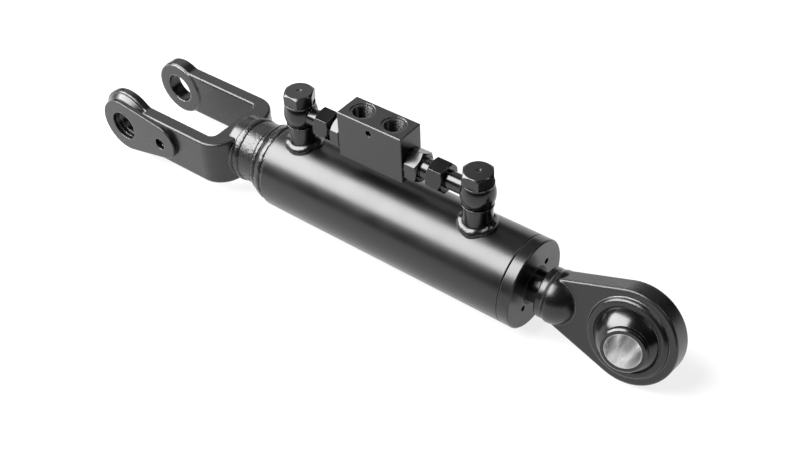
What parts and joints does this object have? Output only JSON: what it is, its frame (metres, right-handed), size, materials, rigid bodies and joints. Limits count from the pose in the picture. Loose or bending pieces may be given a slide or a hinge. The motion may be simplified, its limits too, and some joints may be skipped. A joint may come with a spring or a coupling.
{
  "type": "hydraulic tractor top link",
  "caption": "Hydraulic top link: round cylinder with a forked end, a swivel-ball eye on its rod and a double check-valve block piped between its ports.",
  "frame": {"origin": "centre of the fork's pin bore", "axes": "+X along the link from the fork to the eye, Y along the fork's pin, +Z the side that carries the valve block"},
  "size_m": [0.5325, 0.079, 0.1272],
  "materials": {
    "tube_paint": "semi-gloss black sprayed over turned tube",
    "weld_paint": "semi-gloss black sprayed over a rough weld bead",
    "forging_paint": "semi-gloss black sprayed over a forging's skin",
    "plate_paint": "semi-gloss black sprayed over cut plate",
    "fitting_paint": "semi-gloss black sprayed over turned fittings",
    "block_paint": "semi-gloss black sprayed over a milled block",
    "rod_chrome": "hard chrome, ground",
    "ball_steel": "bare turned steel",
    "inner_steel": "bare turned steel, oiled",
    "spring_steel": "drawn spring wire",
    "seal_rubber": "moulded rubber",
    "ring_polymer": "filled bearing polymer"
  },
  "bodies": {
    "barrel": {"barrel_tube": "tube_paint", "base_cap": "tube_paint", "base_weld": "weld_paint", "fork": "forging_paint", "fork_weld": "weld_paint", "lock_plate": "plate_paint", "lock_plate_spacer": "plate_paint", "port_boss_rear": "fitting_paint", "port_boss_front": "fitting_paint", "port_weld_rear": "weld_paint", "port_weld_front": "weld_paint", "banjo_rear": "fitting_paint", "banjo_front": "fitting_paint", "banjo_bolt_rear": "fitting_paint", "banjo_bolt_front": "fitting_paint", "banjo_washers": "fitting_paint", "union_nut_rear": "fitting_paint", "union_nut_front": "fitting_paint", "valve_adaptor_rear": "fitting_paint", "valve_adaptor_front": "fitting_paint", "adaptor_seals": "fitting_paint", "valve_block": "block_paint", "gland": "tube_paint", "gland_o_ring": "seal_rubber", "rod_seal": "seal_rubber", "rod_wiper": "seal_rubber", "rod_guide_ring": "ring_polymer", "poppet_spring_rear": "spring_steel", "poppet_spring_front": "spring_steel"},
    "piston_rings": {"piston_seal": "seal_rubber", "piston_wear_rings": "ring_polymer"},
    "rod": {"piston": "inner_steel", "piston_nut": "inner_steel", "piston_o_ring": "seal_rubber", "piston_rod": "rod_chrome", "eye_collar": "forging_paint", "rod_eye": "forging_paint"},
    "ball": {"swivel_ball": "ball_steel"},
    "pilot": {"pilot_piston": "inner_steel"},
    "poppet_rear_body": {"poppet_rear": "inner_steel"},
    "poppet_front_body": {"poppet_front": "inner_steel"}
  },
  "joints": [
    {"name": "rod_slide", "type": "slide", "parent": "barrel", "child": "piston_rings", "axis": [1, 0, 0], "range_m": [0, 0.12]},
    {"name": "rod_turn", "type": "hinge", "parent": "piston_rings", "child": "rod", "pos_m": [0.4, 0, 0], "axis": [1, 0, 0], "continuous": true},
    {"name": "ball_swing", "type": "hinge", "parent": "rod", "child": "ball", "pos_m": [0.467, 0, 0], "axis": [0, 0.2419, 0.9703], "range_deg": [-26, 4]},
    {"name": "pilot_shift", "type": "slide", "parent": "barrel", "child": "pilot", "axis": [1, 0, 0], "range_m": [0, 0.0025], "stiffness_N_per_m": 800},
    {"name": "poppet_front_lift", "type": "slide", "parent": "barrel", "child": "poppet_front_body", "axis": [1, 0, 0], "range_m": [0, 0.0025], "deforming": ["poppet_spring_front"]},
    {"name": "poppet_rear_lift", "type": "slide", "parent": "barrel", "child": "poppet_rear_body", "axis": [-1, 0, 0], "range_m": [0, 0.0025], "deforming": ["poppet_spring_rear"]}
  ],
  "couplings": [
    {"joint": "poppet_front_lift", "follows": "pilot_shift", "ratio": 1},
    {"joint": "poppet_rear_lift", "follows": "pilot_shift", "ratio": 1}
  ]
}
